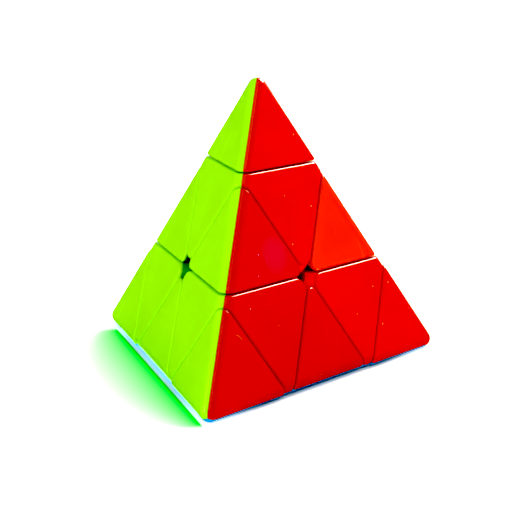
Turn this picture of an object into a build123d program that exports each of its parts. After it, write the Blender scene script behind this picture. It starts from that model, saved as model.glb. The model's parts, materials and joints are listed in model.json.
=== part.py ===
from build123d import *
from math import cos, radians, sin, sqrt, tan
import os

# A pyramid twisty puzzle: a regular tetrahedron cut into four tips, four axials and six edge
# pieces that turn round four axes meeting at the core. Millimetres, +Z up, origin at the core's
# centre; the puzzle rests on its blue face.

# ---- driving dimensions ----
SHARP_EDGE = 105.3          # edge of the tetrahedron before its edges and corners are rounded
TIP_SHARE = 0.333           # share of an edge that a tip takes
LAYER_SHARE = 0.6645        # share of an edge, from its vertex, that a turning layer takes
GAP = 0.4                   # between pieces that turn past each other
SEAM = 0.08                 # between the coloured parts of one piece
WALL = 2.0
TIP_ROUND = 2.53            # radius of a tip's corner and along its edges
OUTER_ROUND = 3.12          # radius along the tetrahedron's edges on axials and edge pieces
RIM_ROUND = 0.5             # radius where a coloured face meets a gap
AXIAL_CORNER = 3.6          # radius of an axial's corner at the star hole
EDGE_CORNER = 2.2           # radius of an edge piece's corner at the star hole

FOOT_SPHERE = 17.4          # feet of the edge pieces run inside it, caps stay outside it
FOOT_INNER = 13.1
FOOT_CLEARANCE = 0.15       # each side of the foot sphere
FOOT_PLANE = 2.5            # core centre to the cut between two layers inside the foot sphere
FOOT_TO_HUB = 0.3
SAUCER = 2.0                # thickness of the hub's dish over the feet

CORE_RADIUS = 8.5
ARM_RADIUS = 3.6
ARM_END = 14.5
THREAD_END = 4.0            # distance from the core's centre at which a screw ends
SCREW_RADIUS = 1.5
THREAD_SLACK = 0.03
RUNNING_SLACK = 0.08
HEAD_RADIUS = 3.0
HEAD_HEIGHT = 2.2
HEAD_ROUND = 0.6
RECESS_WIDTH = 0.7
RECESS_SPAN = 3.6
RECESS_DEPTH = 1.1
WASHER_START = 22.6
WASHER_RADIUS = 3.2
WASHER_THICKNESS = 0.5
SPRING_WIRE = 0.35
SPRING_RADIUS = 2.6
SPRING_TURNS = 5
STACK_SLACK = 0.03          # between the spring, the washer and the screw's head

HUB_START = 9.9
HUB_FLOOR = 14.8            # the spring presses on this plate, round the screw
HUB_FLOOR_TOP = 16.5
HUB_RADIUS = 5.2
HUB_STEP = 19.0             # where the hub widens, above the feet
HUB_COLLAR_RADIUS = 6.0
HUB_POCKET = 3.5
SNAP_START = 27.0
SNAP_POCKET = 4.5
COLLAR_START = 31.8

PEG_RADIUS = 3.85
PEG_SLACK = 0.06
SNAP_RADIUS = 4.25
SNAP_TOP = 31.6
SNAP_BOTTOM = 30.6
PEG_NOSE = 3.0
PEG_END = 28.9
PEG_SLOT = 1.2
FLANGE_RADIUS = 5.9
FLANGE_THICKNESS = 1.4
CLIP_SLACK = 0.06           # between parts of one piece that are clipped together

DOWEL_FROM_CORE = 27.0      # dowels that join the two halves of an edge piece
DOWEL_SPREAD = 6.0
DOWEL_RADIUS = 1.2
DOWEL_LENGTH = 2.0
DOWEL_BOSS = 2.4

REACH = 200.0               # size of the blocks that stand for half spaces

# ---- worked out from them ----
FACE = SHARP_EDGE / (2 * sqrt(6))           # core centre to a face
VERTEX = 3 * FACE                           # core centre to a sharp vertex
POINT = VERTEX - 2 * TIP_ROUND              # core centre to the end of a rounded tip
TIP_PLANE = VERTEX - TIP_SHARE * (FACE + VERTEX)
LAYER_PLANE = VERTEX - LAYER_SHARE * (FACE + VERTEX)
FOOT_TOP = FOOT_SPHERE - FOOT_CLEARANCE
CAP_START = FOOT_SPHERE + FOOT_CLEARANCE
ON_PLANE = 1e-4


def vertex_direction(azimuth):
    """Unit vector from the core towards a lower vertex."""
    level = 2 * sqrt(2) / 3
    return Vector(level * cos(radians(azimuth)), level * sin(radians(azimuth)), -1 / 3)


# Every coloured part is drawn once, in a local frame where P is up and Q, S, T follow round it.
P = Vector(0, 0, 1)
Q = vertex_direction(0)
S = vertex_direction(120)
T = vertex_direction(240)

# The puzzle's own vertices, and the colour of the face opposite each of them.
VERTICES = {
    "top": Vector(0, 0, 1),
    "front": vertex_direction(-90),
    "right": vertex_direction(30),
    "left": vertex_direction(150),
}
FACE_COLOUR = {"left": "red", "right": "green", "front": "yellow", "top": "blue"}


def below(direction, offset):
    """The half space on the core's side of the plane that is offset along direction."""
    block = Pos(0, 0, -REACH / 2) * Box(REACH, REACH, REACH)
    return Plane(origin=direction * offset, z_dir=direction) * block


def above(direction, offset):
    return below(direction * -1, -offset)


def common(*solids):
    result = solids[0]
    for solid in solids[1:]:
        result = result & solid
    return result


def on_any(point, planes):
    """How many of the planes, each given as (direction, offset), the point lies on."""
    return sum(abs(point.dot(way) - offset) < ON_PLANE for way, offset in planes)


def crossing_edges(solid, planes):
    """The straight edges in which two of the planes meet."""
    return [edge for edge in solid.edges() if on_any(edge.center(), planes) == 2]


def rim_edges(solid, faces, cuts):
    """The edges round the coloured faces: straight ones along the cuts, arcs at the corners."""
    straight = [
        edge for edge in solid.edges()
        if on_any(edge.center(), faces) and on_any(edge.center(), cuts)
    ]
    return straight + solid.edges().filter_by(GeomType.ELLIPSE)


def sector():
    """The third of space round P that holds the face opposite Q, less half a seam each side."""
    tip = Vector(-SEAM / sqrt(3), 0)
    to_s = tip + Vector(cos(radians(120)), sin(radians(120))) * REACH
    to_t = tip + Vector(cos(radians(240)), sin(radians(240))) * REACH
    return extrude(make_face(Polyline(tip, to_s, to_t, close=True)), REACH / 2, both=True)


def revolved(profile):
    """A body of revolution round P from its outline of (radius, height) points."""
    return revolve(make_face(Plane.XZ * Polyline(*profile, close=True)), Axis.Z)


def cylinder(direction, radius, start=0.0, end=REACH / 2):
    body = Cylinder(radius, end - start, align=(Align.CENTER, Align.CENTER, Align.MIN))
    return Plane(origin=direction * start, z_dir=direction) * body


def blank(radius):
    """The whole tetrahedron, its edges and corners rounded."""
    sharp = common(*[above(way, -FACE) for way in (P, Q, S, T)])
    return fillet(sharp.edges(), radius)


# ---- tips ----

def tip_body():
    """A whole tip."""
    faces = [(way, -FACE) for way in (Q, S, T)]
    floor = (P, TIP_PLANE + GAP / 2)
    body = common(blank(TIP_ROUND), above(*floor))
    return fillet(rim_edges(body, faces, [floor]), RIM_ROUND)


def tip_hollow():
    """The room inside a tip's walls."""
    walls = [above(way, -FACE + WALL) for way in (Q, S, T)]
    return common(*walls, above(P, TIP_PLANE + GAP / 2 + WALL), below(P, POINT - WALL))


def tip_shell():
    """The coloured part of a tip on the face opposite Q, with its third of the floor."""
    peg_hole = cylinder(P, PEG_RADIUS + CLIP_SLACK)
    hollow = tip_hollow() + common(peg_hole, below(P, TIP_PLANE + GAP / 2 + 2 * WALL))
    return common(tip_body() - hollow, sector())


def tip_stem():
    """The peg that a tip turns on: a flange on the tip's floor and four snap prongs."""
    floor = TIP_PLANE + GAP / 2 + WALL + CLIP_SLACK
    body = revolved([
        (0, PEG_END), (PEG_NOSE, PEG_END), (SNAP_RADIUS, SNAP_BOTTOM), (SNAP_RADIUS, SNAP_TOP),
        (PEG_RADIUS, SNAP_TOP), (PEG_RADIUS, floor), (FLANGE_RADIUS, floor),
        (FLANGE_RADIUS, floor + FLANGE_THICKNESS), (0, floor + FLANGE_THICKNESS),
    ])
    slot_height = TIP_PLANE - PEG_END
    slot = Pos(0, 0, PEG_END + slot_height / 2) * Box(2 * FLANGE_RADIUS, PEG_SLOT, slot_height)
    return body - slot - Rot(0, 0, 90) * slot


# ---- axials ----

def axial_body(inset):
    """A whole axial's cap without its spherical underside, or the hollow inside its walls."""
    faces = [(way, -FACE + inset) for way in (Q, S, T)]
    cuts = [(way, LAYER_PLANE - GAP / 2 - inset) for way in (Q, S, T)]
    top = (P, TIP_PLANE - GAP / 2 - inset)
    body = common(*[above(*face) for face in faces], *[below(*cut) for cut in cuts], below(*top))
    body = fillet(crossing_edges(body, cuts), AXIAL_CORNER - inset)
    if not inset:
        body = common(body, blank(OUTER_ROUND))
        body = fillet(rim_edges(body, faces, cuts + [top]), RIM_ROUND)
    return body & above(P, LAYER_PLANE + GAP / 2 + inset)


def axial_shell():
    """The coloured part of an axial on the face opposite Q."""
    hub_hole = cylinder(P, HUB_COLLAR_RADIUS + CLIP_SLACK, HUB_STEP)
    hollow = axial_body(WALL) + common(hub_hole, below(P, TIP_PLANE + GAP))
    return common(axial_body(0) - hollow - Sphere(CAP_START), sector())


def axial_hub():
    """The tube on the core's arm, which holds the spring and the tip's peg, and its dish."""
    tube = revolved([
        (ARM_RADIUS + RUNNING_SLACK, HUB_START), (HUB_RADIUS, HUB_START), (HUB_RADIUS, HUB_STEP),
        (HUB_COLLAR_RADIUS, HUB_STEP), (HUB_COLLAR_RADIUS, TIP_PLANE - GAP / 2),
        (PEG_RADIUS + PEG_SLACK, TIP_PLANE - GAP / 2), (PEG_RADIUS + PEG_SLACK, COLLAR_START),
        (SNAP_POCKET, COLLAR_START), (SNAP_POCKET, SNAP_START), (HUB_POCKET, SNAP_START),
        (HUB_POCKET, HUB_FLOOR_TOP), (SCREW_RADIUS + RUNNING_SLACK, HUB_FLOOR_TOP),
        (SCREW_RADIUS + RUNNING_SLACK, HUB_FLOOR), (ARM_RADIUS + RUNNING_SLACK, HUB_FLOOR),
    ])
    dish = common(Sphere(CAP_START + SAUCER), axial_body(WALL + CLIP_SLACK)) - Sphere(CAP_START)
    return tube + (dish - cylinder(P, HUB_POCKET))


# ---- edge pieces ----

def edge_body(inset):
    """A whole edge piece's cap between S and T, or the hollow inside its walls."""
    faces = [(way, -FACE + inset) for way in (P, Q)]
    cuts = [(way, LAYER_PLANE + GAP / 2 + inset) for way in (S, T)]
    body = common(*[above(*plane) for plane in faces + cuts])
    body = fillet(crossing_edges(body, cuts), EDGE_CORNER - inset)
    if not inset:
        body = common(body, blank(OUTER_ROUND))
        body = fillet(rim_edges(body, faces, cuts), RIM_ROUND)
    return body


def edge_foot():
    """The foot of an edge piece: the part of the foot sphere's wall that S and T both turn."""
    inside = [above(way, FOOT_PLANE + GAP / 2) for way in (S, T)]
    outside = [below(way, FOOT_PLANE - GAP / 2) for way in (P, Q)]
    foot = common(Sphere(FOOT_TOP), *inside, *outside) - Sphere(FOOT_INNER)
    for way in (S, T):
        foot = foot - cylinder(way, HUB_RADIUS + FOOT_TO_HUB)
    return foot


def edge_half():
    """The coloured half of an edge piece on the face opposite P, with half of the foot."""
    across = (Q - P).normalized()
    along = (S - T).normalized()
    middle = (S + T).normalized() * DOWEL_FROM_CORE
    outside = edge_body(0)
    hollow = edge_body(WALL) - Sphere(CAP_START + WALL)
    half = common(outside - hollow + edge_foot(), above(across, SEAM / 2))
    for side in (1, -1):
        place = Plane(origin=middle + along * side * DOWEL_SPREAD, z_dir=across)
        boss = place * Cylinder(DOWEL_BOSS, REACH / 2)
        half = half + common(boss, outside, above(across, SEAM / 2))
    socket = Plane(origin=middle - along * DOWEL_SPREAD, z_dir=across)
    half = half - socket * Cylinder(DOWEL_RADIUS + CLIP_SLACK, 2 * (DOWEL_LENGTH + SEAM))
    dowel = Plane(origin=middle + along * DOWEL_SPREAD, z_dir=across)
    return half + dowel * Cylinder(DOWEL_RADIUS, 2 * DOWEL_LENGTH)


# ---- core, screws and springs ----

def core():
    """The centre ball with four arms, one along each axis, each with a hole for its screw."""
    body = Sphere(CORE_RADIUS)
    for way in VERTICES.values():
        body = body + cylinder(way, ARM_RADIUS, 0, ARM_END)
    for way in VERTICES.values():
        body = body - cylinder(way, SCREW_RADIUS + THREAD_SLACK, THREAD_END)
    return body


def screw():
    """A pan-head screw along P with a cross recess."""
    seat = WASHER_START + WASHER_THICKNESS + STACK_SLACK
    shank = cylinder(P, SCREW_RADIUS, THREAD_END + STACK_SLACK, seat + HEAD_HEIGHT / 2)
    head = cylinder(P, HEAD_RADIUS, seat, seat + HEAD_HEIGHT)
    head = fillet(head.edges().sort_by(Axis.Z)[-1], HEAD_ROUND)
    recess = Pos(0, 0, seat + HEAD_HEIGHT) * Box(RECESS_SPAN, RECESS_WIDTH, 2 * RECESS_DEPTH)
    return head + shank - recess - Rot(0, 0, 90) * recess


def washer():
    disc = cylinder(P, WASHER_RADIUS, WASHER_START, WASHER_START + WASHER_THICKNESS)
    return disc - cylinder(P, SCREW_RADIUS + RUNNING_SLACK)


def spring():
    """The coil that presses an axial's hub towards the core."""
    start = HUB_FLOOR_TOP + SPRING_WIRE + STACK_SLACK
    height = WASHER_START - SPRING_WIRE - STACK_SLACK - start
    coil = Pos(0, 0, start) * Helix(height / SPRING_TURNS, height, SPRING_RADIUS)
    section = Plane(origin=coil @ 0, z_dir=coil % 0) * Circle(SPRING_WIRE)
    return sweep(section, path=coil, is_frenet=True)


# ---- placing and writing ----

def facing(up, towards):
    """The place of a local frame whose P is the direction up and whose Q is towards."""
    level = towards - up * towards.dot(up)
    return Plane(origin=(0, 0, 0), x_dir=level, z_dir=up).location


def save(name, solid):
    export_step(solid, os.path.join("parts", name + ".step"))


def edge_name(face, missing):
    """An edge piece is named after the two vertices that it lies between."""
    ends = [name for name in VERTICES if name not in (face, missing)]
    return "_".join(ends) + "_edge"


os.makedirs("parts", exist_ok=True)
save("core", core())

COLOURED = {"tip": tip_shell(), "axial": axial_shell()}
EDGE_HALF = edge_half()
AXIS_PARTS = {
    "tip_stem": tip_stem(),
    "axial_hub": axial_hub(),
    "screw": screw(),
    "washer": washer(),
    "spring": spring(),
}

for vertex, up in VERTICES.items():
    others = [name for name in VERTICES if name != vertex]
    for part, solid in AXIS_PARTS.items():
        save(vertex + "_" + part, facing(up, VERTICES[others[0]]) * solid)
    for face in others:
        place = facing(up, VERTICES[face])
        for piece, solid in COLOURED.items():
            save(vertex + "_" + piece + "_" + FACE_COLOUR[face] + "_shell", place * solid)
        half_name = edge_name(vertex, face) + "_" + FACE_COLOUR[vertex] + "_half"
        save(half_name, place * EDGE_HALF)
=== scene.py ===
import json
import math

import bpy
from mathutils import Matrix, Vector

# A stickerless pyramid twisty puzzle on a plain pale floor. Lengths are in metres, colours are linear, and
# the origin is the centre of the puzzle's core. Two limits are where something starts and where it is full.

# Floor
FLOOR_Z = -0.02151                  # just below the blue face
FLOOR_RADIUS = 0.6
PAPER_SCALE = 900
PAPER_WHITES = ((0.92, 0.92, 0.92), (0.94, 0.94, 0.94))
FLOOR_ROUGHNESS = 0.9
FLOOR_LIFT = 0.60                   # the floor's own light, which takes the weight out of the shadows
LIFT_LIMITS = (0.037, 0.056)        # distances from the origin
LIFT_EDGE = (-0.0004, 0.0004)       # outwards from the green face's foot

# Green light on the floor beside the green face
GREEN_OUTWARD = (-math.cos(math.radians(30)), -0.5, 0)
GREEN_ALONG = (0.5, -math.cos(math.radians(30)), 0)
GLOW_COLOUR = (0.0, 0.70, 0.05)
GLOW_START = 0.030                  # from the origin outwards
GLOW_DEPTH = 0.0175
GLOW_MIDDLE = 0.0047
GLOW_HALF_LENGTH = 0.047
GLOW_BLUNTNESS = 3.0                # 2 would round the glow off as an ellipse, more makes its ends blunter
GLOW_ENDS = (0.2, 0.5)              # shares of the full depth
GLOW_EDGE = (-0.001, -0.0002)       # outwards from the start
LEAST_SWELL = 0.0001                # keeps a root and a division away from zero

# Pale strip of floor at the green face's foot, which the rounded blue edge there mirrors
GLEAM_SIZE = (0.004, 0.082)
GLEAM_POWER = 0.0018
GLEAM_COLOUR = (0.72, 1.0, 0.97)
GLEAM_OUTWARD = 0.0275
GLEAM_ALONG = 0.001
GLEAM_HEIGHT = 0.00005

# Camera, light and picture
CAMERA_PLACE = Vector((0.07728, -0.40384, 0.10761))
CAMERA_AIM = Vector((0.00049, 0.00009, 0.00945))
CAMERA_ROLL = math.radians(1.37)
CAMERA_LENS = 105.9
SENSOR_WIDTH = 36.0
BLACK_POINT = 0.08
KEY_SIDE = (0.375, 0.634, 0.677)    # the key light shines from behind, on the rims of the gaps
WORLD_STRENGTH = 1.05

# Plastics
RED = (0.63, 0.044, 0.0030)
GREEN = (0.36, 0.90, 0.0030)
YELLOW = (0.80, 0.56, 0.004)
BLUE = (0.003, 0.36, 0.72)
HUB_WHITE = (0.78, 0.77, 0.73)

# The same plastics down in the star holes, with painted shade and painted bounced light in place of the light
# that reaches them. All outer faces lie beyond the mouth.
RED_PAINTED_HOLE_SHADING = (0.90, 0.0040, 0.0030)
GREEN_PAINTED_HOLE_SHADING = (0.010, 0.28, 0.030)
YELLOW_PAINTED_HOLE_SHADING = (0.62, 0.34, 0.003)
BLUE_PAINTED_HOLE_SHADING = (0.002, 0.20, 0.55)
HOLE_LIMITS = (0.02148, 0.0207)     # distances from the origin, mouth first

# Red pieces painted a slightly different red for the light: a painted highlight on one, painted shade on the
# lower front ones
PAINTED_HIGHLIGHT_RED = (0.72, 0.063, 0.0030)
PAINTED_SHADE_RED = (0.57, 0.036, 0.0030)
PAINTED_LIGHT_REDS_OF_PIECES = {
    PAINTED_HIGHLIGHT_RED: ["top_right_edge_red_half"],
    PAINTED_SHADE_RED: ["front_tip_red_shell", "front_axial_red_shell", "front_right_edge_red_half"],
}

# One red piece has a painted crimson reflection towards its star corner
PAINTED_REFLECTION_PIECE = "top_front_edge_red_half"
PAINTED_REFLECTION_CRIMSON = (0.57, 0.016, 0.064)
PAINTED_REFLECTION_MIDDLE = (0.0092, -0.0188, 0.0143)
PAINTED_REFLECTION_REACH = 0.023

# Curved scratch on the front tip's red face
SCRATCH_CENTRE = (0.0040, -0.0410, -0.0042)
SCRATCH_RADIUS = 0.0020
SCRATCH_MIDDLE = (0.0045, -0.0398, -0.0028)
SCRATCH_HALF_WIDTH = (0.00024, 0.00008)
SCRATCH_HALF_LENGTH = (0.0015, 0.0010)

# Cosine of the angle between a true normal and one that is softened over a rounded edge
EDGE_LIMITS = (0.999, 0.93)

# Surface of the plastic. Scales count features in a metre, amounts are shares of 1.
CLOUD_SCALE = 55
FLOW_SCALES = (30, 30, 110)
FLOW_TURN = (0.5, 0.3, 0.0)
FLOW_AMOUNT = 0.30
WORN_RADIUS = 0.0004
WORN_AMOUNT = 0.25
DUST_SCALE = 300
DUST_SIZE = (0.080, 0.040)          # in shares of the distance between two specks
DUST_CHANCE = (0.70, 0.72)
DUST_COLOUR = (0.62, 0.58, 0.52)
DUST_AMOUNT = 0.45
HAIR_SCALES = (60, 2600, 60)
HAIR_TURN = (0.4, 0.9, 0.6)
HAIR_LIMITS = (0.73, 0.80)
HAIR_AMOUNT = 0.03
SCRATCH_AMOUNT = 0.20
GRAIN_SCALE = 2300
SINK_SCALE = 70
PLASTIC_IOR = 1.45

# Metals
STEEL = (0.60, 0.59, 0.57)
SPRING_STEEL = (0.44, 0.44, 0.45)
STAIN_SCALE = 260
RUBBED_RADIUS = 0.0002

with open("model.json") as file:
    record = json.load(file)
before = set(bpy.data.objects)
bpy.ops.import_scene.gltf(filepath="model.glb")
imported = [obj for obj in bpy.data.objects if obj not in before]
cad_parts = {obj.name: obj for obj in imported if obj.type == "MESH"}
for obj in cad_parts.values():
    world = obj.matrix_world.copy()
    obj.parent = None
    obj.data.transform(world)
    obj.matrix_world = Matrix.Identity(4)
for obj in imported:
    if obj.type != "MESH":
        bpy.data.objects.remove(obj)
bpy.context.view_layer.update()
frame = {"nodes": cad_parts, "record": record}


# ---------------------------------------------------------------- node helpers

class Nodes:
    """Short ways to add and join shader nodes in one material."""

    def __init__(self, name):
        self.material = bpy.data.materials.new(name)
        self.material.use_nodes = True
        self.tree = self.material.node_tree
        self.tree.nodes.clear()
        self.shader = self.add("ShaderNodeBsdfPrincipled")
        output = self.add("ShaderNodeOutputMaterial")
        self.join(self.shader.outputs["BSDF"], output.inputs["Surface"])
        self.place = self.add("ShaderNodeTexCoord").outputs["Object"]

    def add(self, kind):
        return self.tree.nodes.new(kind)

    def join(self, output, socket):
        self.tree.links.new(output, socket)

    def put(self, value, socket):
        """Sets a socket from a number, a colour, a vector or another node's output."""
        if isinstance(value, bpy.types.NodeSocket):
            self.join(value, socket)
        elif socket.type == "RGBA":
            socket.default_value = (*value, 1)
        else:
            socket.default_value = value

    def noise(self, scale, detail=2.0, roughness=0.5, place=None):
        node = self.add("ShaderNodeTexNoise")
        node.inputs["Scale"].default_value = scale
        node.inputs["Detail"].default_value = detail
        node.inputs["Roughness"].default_value = roughness
        self.join(place or self.place, node.inputs["Vector"])
        return node.outputs["Fac"]

    def stretched(self, scale, turn=(0, 0, 0)):
        """The object's coordinates turned, then scaled differently along each axis."""
        node = self.add("ShaderNodeMapping")
        node.inputs["Scale"].default_value = scale
        node.inputs["Rotation"].default_value = turn
        self.join(self.place, node.inputs["Vector"])
        return node.outputs["Vector"]

    def cells(self, scale):
        """Distance to the nearest point of a random scatter, and a random number for that point."""
        node = self.add("ShaderNodeTexVoronoi")
        node.inputs["Scale"].default_value = scale
        self.join(self.place, node.inputs["Vector"])
        split = self.add("ShaderNodeSeparateColor")
        self.join(node.outputs["Color"], split.inputs["Color"])
        return node.outputs["Distance"], split.outputs["Red"]

    def ramp(self, value, low, high, to_low=0.0, to_high=1.0, kind="SMOOTHSTEP"):
        """Takes low..high to to_low..to_high and no further, smoothly unless another kind is given."""
        node = self.add("ShaderNodeMapRange")
        node.interpolation_type = kind
        self.put(value, node.inputs["Value"])
        node.inputs["From Min"].default_value = low
        node.inputs["From Max"].default_value = high
        node.inputs["To Min"].default_value = to_low
        node.inputs["To Max"].default_value = to_high
        return node.outputs["Result"]

    def maths(self, operation, a, b=0.0):
        node = self.add("ShaderNodeMath")
        node.operation = operation
        self.put(a, node.inputs[0])
        self.put(b, node.inputs[1])
        return node.outputs["Value"]

    def vector_maths(self, operation, a, b=(0, 0, 0)):
        """A number worked out from two vectors."""
        node = self.add("ShaderNodeVectorMath")
        node.operation = operation
        self.put(a, node.inputs[0])
        self.put(b, node.inputs[1])
        return node.outputs["Value"]

    def measured(self, direction):
        """How far the object's coordinates lie along a direction."""
        return self.vector_maths("DOT_PRODUCT", self.place, direction)

    def distance_to(self, point):
        return self.vector_maths("DISTANCE", self.place, point)

    def radius(self):
        """Distance from the core's centre."""
        return self.vector_maths("LENGTH", self.place)

    def mix(self, amount, a, b):
        node = self.add("ShaderNodeMixRGB")
        self.put(amount, node.inputs["Fac"])
        self.put(a, node.inputs["Color1"])
        self.put(b, node.inputs["Color2"])
        return node.outputs["Color"]

    def bump(self, height, strength, distance):
        node = self.add("ShaderNodeBump")
        node.inputs["Strength"].default_value = strength
        node.inputs["Distance"].default_value = distance
        self.put(height, node.inputs["Height"])
        return node.outputs["Normal"]

    def edges(self, radius):
        """1 on rounded edges of about this radius, 0 on flat faces."""
        soft = self.add("ShaderNodeBevel")
        soft.inputs["Radius"].default_value = radius
        true = self.add("ShaderNodeNewGeometry")
        agreement = self.vector_maths("DOT_PRODUCT", soft.outputs["Normal"], true.outputs["Normal"])
        return self.ramp(agreement, *EDGE_LIMITS)


# ---------------------------------------------------------------- materials

def shade(colour, factor):
    return tuple(c * factor for c in colour)


def paler(colour, amount):
    return tuple(c + (1 - c) * amount for c in colour)


def curved_scratch(n):
    """1 on a short arc scratched into the front tip's red face, 0 everywhere else."""
    off_arc = n.maths("ABSOLUTE", n.maths("SUBTRACT", n.distance_to(SCRATCH_CENTRE), SCRATCH_RADIUS))
    in_reach = n.ramp(n.distance_to(SCRATCH_MIDDLE), *SCRATCH_HALF_LENGTH)
    return n.maths("MULTIPLY", n.ramp(off_arc, *SCRATCH_HALF_WIDTH), in_reach)


def dust_specks(n):
    """1 on the few points of a scatter that carry a speck."""
    distance, chance = n.cells(DUST_SCALE)
    return n.maths("MULTIPLY", n.ramp(distance, *DUST_SIZE), n.ramp(chance, *DUST_CHANCE))


def hairline_scratches(n):
    """1 on fine, nearly parallel lines."""
    hair = n.noise(1, detail=1, place=n.stretched(HAIR_SCALES, HAIR_TURN))
    return n.ramp(hair, *HAIR_LIMITS)


def moulded_plastic(name, colour, painted_hole_shading, roughness, specular, skin, painted_reflection=None):
    """Moulded plastic: faint flow clouds, polished skin, worn edges, hairlines and a little dust, with
    painted shade and painted light in the star holes and, when given, a painted crimson reflection.
    """
    n = Nodes(name)
    clouds = n.noise(CLOUD_SCALE, detail=3)
    flow = n.noise(1, detail=2, place=n.stretched(FLOW_SCALES, FLOW_TURN))
    worn = n.edges(WORN_RADIUS)
    dust = dust_specks(n)
    hairlines = hairline_scratches(n)

    base = n.mix(n.ramp(clouds, 0.3, 0.7), shade(colour, 0.955), shade(colour, 1.02))
    base = n.mix(n.ramp(flow, 0.35, 0.75, 0, FLOW_AMOUNT), base, shade(colour, 1.05))
    # painted crimson reflection, fading out from its middle
    if painted_reflection:
        base = n.mix(n.ramp(n.distance_to(PAINTED_REFLECTION_MIDDLE), PAINTED_REFLECTION_REACH, 0.0), base, painted_reflection)
    base = n.mix(n.maths("MULTIPLY", worn, WORN_AMOUNT), base, paler(colour, 0.006))
    base = n.mix(n.maths("MULTIPLY", dust, DUST_AMOUNT), base, DUST_COLOUR)
    base = n.mix(n.maths("MULTIPLY", hairlines, HAIR_AMOUNT), base, paler(colour, 0.12))
    base = n.mix(n.maths("MULTIPLY", curved_scratch(n), SCRATCH_AMOUNT), base, paler(colour, 0.45))
    # painted shading in the star holes: below the mouth the colour turns to the painted hole shade and light
    base = n.mix(n.ramp(n.radius(), *HOLE_LIMITS), base, painted_hole_shading)
    n.join(base, n.shader.inputs["Base Color"])

    gloss = n.ramp(clouds, 0.25, 0.75, roughness - 0.025, roughness + 0.035)
    for mark, dullness in ((worn, 0.05), (hairlines, 0.12), (dust, 0.35)):
        gloss = n.maths("ADD", gloss, n.maths("MULTIPLY", mark, dullness))
    n.join(gloss, n.shader.inputs["Roughness"])

    grain = n.maths("MULTIPLY", n.noise(GRAIN_SCALE, detail=2), skin)
    height = n.maths("ADD", grain, n.noise(SINK_SCALE, detail=1))
    height = n.maths("SUBTRACT", height, n.maths("MULTIPLY", hairlines, 0.05))
    n.join(n.bump(height, strength=0.35, distance=0.00006), n.shader.inputs["Normal"])

    n.shader.inputs["Specular IOR Level"].default_value = specular
    n.shader.inputs["IOR"].default_value = PLASTIC_IOR
    return n.material


def brushed_metal(name, colour, roughness, streak):
    """Plated steel: turning or drawing marks, darker oil stains and brighter rubbed edges."""
    n = Nodes(name)
    marks = n.noise(1, detail=3, place=n.stretched(streak))
    stains = n.noise(STAIN_SCALE, detail=4, roughness=0.6)
    base = n.mix(n.ramp(stains, 0.42, 0.72), colour, shade(colour, 0.62))
    base = n.mix(n.ramp(marks, 0.35, 0.7, 0, 0.35), base, paler(colour, 0.25))
    base = n.mix(n.maths("MULTIPLY", n.edges(RUBBED_RADIUS), 0.4), base, paler(colour, 0.45))
    n.join(base, n.shader.inputs["Base Color"])
    gloss = n.ramp(stains, 0.35, 0.75, roughness, roughness + 0.18)
    n.join(gloss, n.shader.inputs["Roughness"])
    n.join(n.bump(marks, strength=0.3, distance=0.00002), n.shader.inputs["Normal"])
    n.shader.inputs["Metallic"].default_value = 1.0
    return n.material


def red_plastic(colour=RED, painted_reflection=None):
    return moulded_plastic("red_plastic", colour, RED_PAINTED_HOLE_SHADING, roughness=0.20, specular=0.40, skin=0.25,
                           painted_reflection=painted_reflection)


def green_plastic():
    return moulded_plastic("green_plastic", GREEN, GREEN_PAINTED_HOLE_SHADING, roughness=0.22, specular=0.40, skin=0.25)


def yellow_plastic():
    return moulded_plastic("yellow_plastic", YELLOW, YELLOW_PAINTED_HOLE_SHADING, roughness=0.21, specular=0.40, skin=0.25)


def blue_plastic():
    return moulded_plastic("blue_plastic", BLUE, BLUE_PAINTED_HOLE_SHADING, roughness=0.20, specular=0.40, skin=0.25)


def white_plastic():
    return moulded_plastic("white_plastic", HUB_WHITE, HUB_WHITE, roughness=0.46, specular=0.45, skin=0.9)


def steel():
    return brushed_metal("steel", STEEL, roughness=0.24, streak=(300, 300, 2400))


def spring_steel():
    return brushed_metal("spring_steel", SPRING_STEEL, roughness=0.30, streak=(2600, 2600, 300))


RECIPES = (red_plastic, green_plastic, yellow_plastic, blue_plastic, white_plastic, steel, spring_steel)


def dress_the_nodes():
    """Gives each CAD node the procedural material of its slot in the record, and some red pieces a red with
    painted highlight, painted shade or a painted reflection.
    """
    made = {recipe.__name__: recipe() for recipe in RECIPES}
    for part in frame["record"]["subparts"]:
        mesh = frame["nodes"][part["node"]].data
        mesh.materials.clear()
        mesh.materials.append(made[part["material_slot"]])
    # painted highlight and painted shade: lighter and darker reds for pieces by how the light falls on them
    for colour, pieces in PAINTED_LIGHT_REDS_OF_PIECES.items():
        variant = red_plastic(colour)
        for piece in pieces:
            frame["nodes"][piece].data.materials[0] = variant
    # painted crimson reflection on one piece, over the painted shade red
    frame["nodes"][PAINTED_REFLECTION_PIECE].data.materials[0] = red_plastic(PAINTED_SHADE_RED, painted_reflection=PAINTED_REFLECTION_CRIMSON)


# ---------------------------------------------------------------- stage

def green_glow(n, outward):
    """1 on the floor right beside the green face, fading outwards and towards the face's ends."""
    from_middle = n.maths("SUBTRACT", n.measured(GREEN_ALONG), GLOW_MIDDLE)
    along = n.maths("ABSOLUTE", n.maths("DIVIDE", from_middle, GLOW_HALF_LENGTH))
    left_over = n.maths("SUBTRACT", 1.0, n.maths("POWER", along, GLOW_BLUNTNESS))
    swell = n.maths("SQRT", n.maths("MAXIMUM", left_over, LEAST_SWELL))
    spread = n.maths("DIVIDE", outward, n.maths("MULTIPLY", swell, GLOW_DEPTH))
    fading = n.ramp(spread, 0.0, 1.0, 1.0, 0.0, kind="LINEAR")
    glow = n.maths("MULTIPLY", fading, n.ramp(swell, *GLOW_ENDS))
    return n.maths("MULTIPLY", glow, n.ramp(outward, *GLOW_EDGE))


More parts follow.
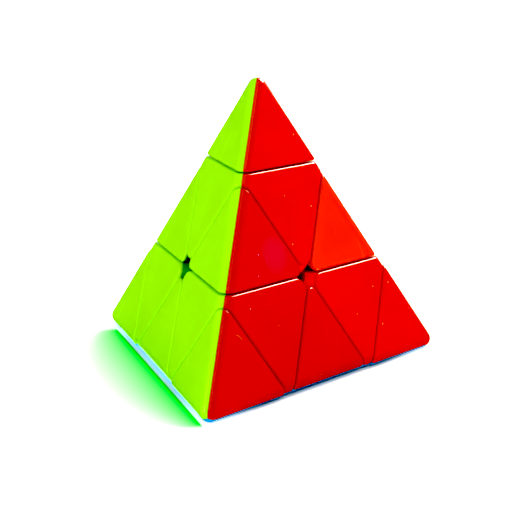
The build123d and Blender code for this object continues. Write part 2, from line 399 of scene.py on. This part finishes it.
def floor_material():
    """White board with a little light of its own, and the green face's light spread over it."""
    n = Nodes("pale_floor")
    outward = n.maths("SUBTRACT", n.measured(GREEN_OUTWARD), GLOW_START)
    base = n.mix(n.ramp(n.noise(PAPER_SCALE, detail=2), 0.3, 0.7), *PAPER_WHITES)
    base = n.mix(green_glow(n, outward), base, GLOW_COLOUR)
    n.join(base, n.shader.inputs["Base Color"])
    lit = n.maths("MAXIMUM", n.ramp(n.radius(), *LIFT_LIMITS), n.ramp(outward, *LIFT_EDGE))
    n.join(n.mix(lit, (0, 0, 0), base), n.shader.inputs["Emission Color"])
    n.shader.inputs["Emission Strength"].default_value = FLOOR_LIFT
    n.shader.inputs["Roughness"].default_value = FLOOR_ROUGHNESS
    n.shader.inputs["Specular IOR Level"].default_value = 0.0
    return n.material


def floor():
    """A round floor, which the polished plastic doesn't mirror."""
    bpy.ops.mesh.primitive_circle_add(vertices=128, radius=FLOOR_RADIUS, fill_type="NGON",
                                      location=(0, 0, FLOOR_Z))
    disc = bpy.context.object
    disc.name = "floor"
    disc.data.materials.append(floor_material())
    disc.visible_glossy = False


def area_light(name, size, power, colour=(1, 1, 1)):
    """A rectangular light that the camera doesn't see directly."""
    data = bpy.data.lights.new(name, "AREA")
    data.shape = "RECTANGLE"
    data.size, data.size_y = size
    data.energy = power
    data.color = colour
    lamp = bpy.data.objects.new(name, data)
    lamp.visible_camera = False
    bpy.context.scene.collection.objects.link(lamp)
    return lamp


def softbox(name, towards, distance, size, power):
    """A square light in the direction towards, which faces the puzzle."""
    lamp = area_light(name, (size, size), power)
    direction = Vector(towards).normalized()
    lamp.location = direction * distance
    lamp.rotation_mode = "QUATERNION"
    lamp.rotation_quaternion = direction.to_track_quat("Z", "Y")
    return lamp


def floor_gleam():
    """A thin light that lies on the floor beside the green face and shines up."""
    lamp = area_light("floor_gleam", GLEAM_SIZE, GLEAM_POWER, GLEAM_COLOUR)
    outward = Vector(GREEN_OUTWARD)
    height = Vector((0, 0, FLOOR_Z + GLEAM_HEIGHT))
    lamp.location = outward * GLEAM_OUTWARD + Vector(GREEN_ALONG) * GLEAM_ALONG + height
    lamp.rotation_euler = (math.pi, 0, math.atan2(outward.y, outward.x))


def lights():
    """Softboxes all round. The rim card is there only to be mirrored, and the right fill only to light."""
    softbox("key", KEY_SIDE, distance=0.9, size=0.32, power=10.0)
    rim_card = softbox("rim_card", KEY_SIDE, distance=0.9, size=0.44, power=26.0)
    rim_card.visible_diffuse = False
    softbox("front_fill", (-0.04, -0.62, 0.78), distance=0.9, size=0.9, power=4.4)
    softbox("left_fill", (-0.86, -0.50, 0.30), distance=0.9, size=0.5, power=4.3)
    right_fill = softbox("right_fill", (0.74, -0.32, 0.60), distance=0.19, size=0.08, power=0.13)
    right_fill.visible_glossy = False
    softbox("back_fill", (-0.10, 0.96, 0.26), distance=1.0, size=0.6, power=1.2)
    floor_gleam()


def white_surroundings():
    """White behind the floor. It lights nothing, and nothing mirrors it."""
    world = bpy.data.worlds.new("white_surroundings")
    world.use_nodes = True
    background = world.node_tree.nodes["Background"]
    background.inputs["Color"].default_value = (1, 1, 1, 1)
    background.inputs["Strength"].default_value = WORLD_STRENGTH
    world.cycles_visibility.glossy = False
    world.cycles_visibility.diffuse = False
    bpy.context.scene.world = world


def camera():
    data = bpy.data.cameras.new("camera")
    data.lens = CAMERA_LENS
    data.sensor_width = SENSOR_WIDTH
    data.clip_start = 0.01
    data.clip_end = 10
    forward = (CAMERA_AIM - CAMERA_PLACE).normalized()
    level = forward.cross(Vector((0, 0, 1))).normalized()
    upright = level.cross(forward)
    right = math.cos(CAMERA_ROLL) * level + math.sin(CAMERA_ROLL) * upright
    up = right.cross(forward)
    turn = Matrix((right, up, -forward)).transposed()
    cam = bpy.data.objects.new("camera", data)
    cam.matrix_world = Matrix.Translation(CAMERA_PLACE) @ turn.to_4x4()
    bpy.context.scene.collection.objects.link(cam)
    bpy.context.scene.camera = cam


def grade():
    """A plain display transform with its black point raised a little, for deep clean colours."""
    settings = bpy.context.scene.view_settings
    settings.view_transform = "Standard"
    settings.use_curve_mapping = True
    settings.curve_mapping.black_level = (BLACK_POINT, BLACK_POINT, BLACK_POINT)
    settings.curve_mapping.update()


dress_the_nodes()
floor()
lights()
white_surroundings()
camera()
grade()
